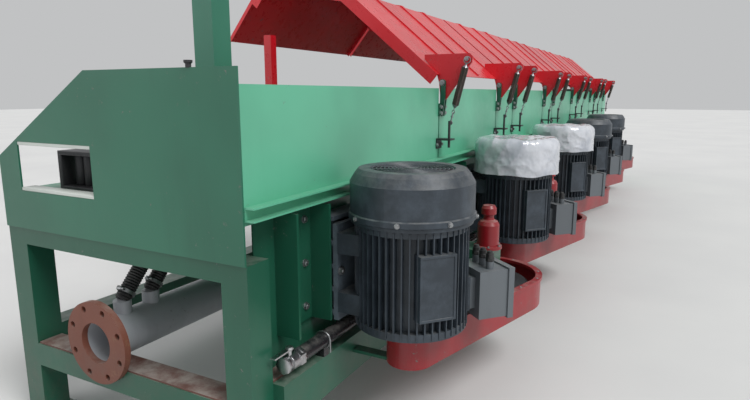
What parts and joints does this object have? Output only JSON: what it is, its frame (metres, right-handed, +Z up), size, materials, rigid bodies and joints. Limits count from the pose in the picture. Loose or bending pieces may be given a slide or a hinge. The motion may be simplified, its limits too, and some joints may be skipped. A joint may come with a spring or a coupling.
{
  "type": "straight-line wire drawing machine",
  "caption": "Straight-line wire drawing machine: green frame, open red hinged hoods over drums, finned vertical motors with belt guards.",
  "frame": {"origin": "underside of the middle rear foot plate, on the floor, under the plane of the rear wall and half way along the row", "axes": "+X along the row towards the wire entry end, +Y out of the rear wall towards the motor side, +Z up"},
  "size_m": [8.139, 1.8299, 1.95],
  "materials": {
    "frame_paint": "semi-gloss dark green enamel",
    "plate_paint": "semi-gloss green enamel",
    "wall_paint": "satin light green enamel",
    "deck_paint": "satin green enamel, a little worn",
    "column_paint": "semi-gloss green enamel",
    "red_oxide": "matt red oxide primer, dusty",
    "hood_red": "gloss red enamel",
    "guard_red": "gloss red enamel, a little dusty",
    "motor_paint": "semi-gloss blue-black enamel on cast iron",
    "base_paint": "satin blue-grey enamel on cast iron",
    "box_grey": "silver-grey painted die casting",
    "film": "crumpled milky plastic film",
    "belt_rubber": "matt black belt",
    "pulley_iron": "turned cast iron",
    "dark_steel": "blackened steel",
    "spring_black": "black oiled spring steel",
    "hook_steel": "zinc-plated steel",
    "drum_chrome": "polished hard-faced drum",
    "pipe_grey": "grey-white paint on steel pipe",
    "flange_rust": "rust-brown primer on a turned flange",
    "hose_rubber": "ribbed black rubber",
    "pipe_black": "gloss black pipe",
    "valve_metal": "bright nickel-plated fittings, red lever"
  },
  "bodies": {
    "frame": {"legs": "frame_paint", "side_beams": "frame_paint", "cross_beams": "frame_paint", "end_rails": "frame_paint", "beam_strips": "red_oxide", "end_plate_near": "plate_paint", "end_plate_far": "plate_paint", "rear_walls": "wall_paint", "hinge_posts": "frame_paint", "wall_ledge": "wall_paint", "channel_posts": "frame_paint", "back_plates": "frame_paint", "front_panels": "plate_paint", "deck": "deck_paint", "gearboxes": "frame_paint", "shaft_brackets": "frame_paint", "shaft_housings": "guard_red", "motor_bases": "base_paint", "motor_bodies": "motor_paint", "motor_cowls": "motor_paint", "cowl_films": "film", "terminal_boxes": "box_grey", "belt_guards": "guard_red", "guard_arms": "frame_paint", "belts": "belt_rubber", "pulleys": "pulley_iron", "hinge_brackets": "frame_paint", "spring_brackets": "dark_steel", "drum_bases": "plate_paint", "die_boxes": "plate_paint", "green_column": "column_paint", "red_post": "hood_red", "return_pipe": "pipe_grey", "return_flange": "flange_rust", "stub_hoses": "hose_rubber", "feed_pipe": "pipe_black", "feed_valve": "valve_metal"},
    "hood_1": {"hood_1": "hood_red"},
    "spring_coils_1": {"spring_coils_1": "spring_black"},
    "spring_hooks_1": {"spring_hooks_1": "hook_steel"},
    "drum_1": {"drum_1": "drum_chrome"},
    "hood_2": {"hood_2": "hood_red"},
    "spring_coils_2": {"spring_coils_2": "spring_black"},
    "spring_hooks_2": {"spring_hooks_2": "hook_steel"},
    "drum_2": {"drum_2": "drum_chrome"},
    "hood_3": {"hood_3": "hood_red"},
    "spring_coils_3": {"spring_coils_3": "spring_black"},
    "spring_hooks_3": {"spring_hooks_3": "hook_steel"},
    "drum_3": {"drum_3": "drum_chrome"},
    "hood_4": {"hood_4": "hood_red"},
    "spring_coils_4": {"spring_coils_4": "spring_black"},
    "spring_hooks_4": {"spring_hooks_4": "hook_steel"},
    "drum_4": {"drum_4": "drum_chrome"},
    "hood_5": {"hood_5": "hood_red"},
    "spring_coils_5": {"spring_coils_5": "spring_black"},
    "spring_hooks_5": {"spring_hooks_5": "hook_steel"},
    "drum_5": {"drum_5": "drum_chrome"}
  },
  "joints": [
    {"name": "hood_1_hinge", "type": "hinge", "parent": "frame", "child": "hood_1", "pos_m": [2, 0.01, 1.25], "axis": [1, 0, 0], "range_deg": [0, 40]},
    {"name": "spring_1_swing", "type": "hinge", "parent": "frame", "child": "spring_coils_1", "pos_m": [2, 0.058, 1.066], "axis": [1, 0, 0], "range_deg": [0, 18.1]},
    {"name": "spring_1_stretch", "type": "slide", "parent": "spring_coils_1", "child": "spring_hooks_1", "axis": [0, 0.2494, 0.9684], "range_m": [0, 0.0565]},
    {"name": "drum_1_spin", "type": "hinge", "parent": "frame", "child": "drum_1", "pos_m": [2, -0.56, 0.93], "axis": [0, 0, 1], "continuous": true},
    {"name": "hood_2_hinge", "type": "hinge", "parent": "frame", "child": "hood_2", "pos_m": [0.655, 0.01, 1.25], "axis": [1, 0, 0], "range_deg": [0, 40]},
    {"name": "spring_2_swing", "type": "hinge", "parent": "frame", "child": "spring_coils_2", "pos_m": [0.655, 0.058, 1.066], "axis": [1, 0, 0], "range_deg": [0, 18.1]},
    {"name": "spring_2_stretch", "type": "slide", "parent": "spring_coils_2", "child": "spring_hooks_2", "axis": [0, 0.2494, 0.9684], "range_m": [0, 0.0565]},
    {"name": "drum_2_spin", "type": "hinge", "parent": "frame", "child": "drum_2", "pos_m": [0.655, -0.56, 0.93], "axis": [0, 0, 1], "continuous": true},
    {"name": "hood_3_hinge", "type": "hinge", "parent": "frame", "child": "hood_3", "pos_m": [-0.69, 0.01, 1.25], "axis": [1, 0, 0], "range_deg": [0, 40]},
    {"name": "spring_3_swing", "type": "hinge", "parent": "frame", "child": "spring_coils_3", "pos_m": [-0.69, 0.058, 1.066], "axis": [1, 0, 0], "range_deg": [0, 18.1]},
    {"name": "spring_3_stretch", "type": "slide", "parent": "spring_coils_3", "child": "spring_hooks_3", "axis": [0, 0.2494, 0.9684], "range_m": [0, 0.0565]},
    {"name": "drum_3_spin", "type": "hinge", "parent": "frame", "child": "drum_3", "pos_m": [-0.69, -0.56, 0.93], "axis": [0, 0, 1], "continuous": true},
    {"name": "hood_4_hinge", "type": "hinge", "parent": "frame", "child": "hood_4", "pos_m": [-2.035, 0.01, 1.25], "axis": [1, 0, 0], "range_deg": [0, 40]},
    {"name": "spring_4_swing", "type": "hinge", "parent": "frame", "child": "spring_coils_4", "pos_m": [-2.035, 0.058, 1.066], "axis": [1, 0, 0], "range_deg": [0, 18.1]},
    {"name": "spring_4_stretch", "type": "slide", "parent": "spring_coils_4", "child": "spring_hooks_4", "axis": [0, 0.2494, 0.9684], "range_m": [0, 0.0565]},
    {"name": "drum_4_spin", "type": "hinge", "parent": "frame", "child": "drum_4", "pos_m": [-2.035, -0.56, 0.93], "axis": [0, 0, 1], "continuous": true},
    {"name": "hood_5_hinge", "type": "hinge", "parent": "frame", "child": "hood_5", "pos_m": [-3.38, 0.01, 1.25], "axis": [1, 0, 0], "range_deg": [0, 40]},
    {"name": "spring_5_swing", "type": "hinge", "parent": "frame", "child": "spring_coils_5", "pos_m": [-3.38, 0.058, 1.066], "axis": [1, 0, 0], "range_deg": [0, 18.1]},
    {"name": "spring_5_stretch", "type": "slide", "parent": "spring_coils_5", "child": "spring_hooks_5", "axis": [0, 0.2494, 0.9684], "range_m": [0, 0.0565]},
    {"name": "drum_5_spin", "type": "hinge", "parent": "frame", "child": "drum_5", "pos_m": [-3.38, -0.56, 0.93], "axis": [0, 0, 1], "continuous": true}
  ],
  "couplings": [
    {"joint": "spring_1_swing", "follows": "hood_1_hinge", "ratio": 0.45},
    {"joint": "spring_1_stretch", "follows": "hood_1_hinge", "m_per_rad": 0.0805},
    {"joint": "spring_2_swing", "follows": "hood_2_hinge", "ratio": 0.45},
    {"joint": "spring_2_stretch", "follows": "hood_2_hinge", "m_per_rad": 0.0805},
    {"joint": "spring_3_swing", "follows": "hood_3_hinge", "ratio": 0.45},
    {"joint": "spring_3_stretch", "follows": "hood_3_hinge", "m_per_rad": 0.0805},
    {"joint": "spring_4_swing", "follows": "hood_4_hinge", "ratio": 0.45},
    {"joint": "spring_4_stretch", "follows": "hood_4_hinge", "m_per_rad": 0.0805},
    {"joint": "spring_5_swing", "follows": "hood_5_hinge", "ratio": 0.45},
    {"joint": "spring_5_stretch", "follows": "hood_5_hinge", "m_per_rad": 0.0805}
  ]
}
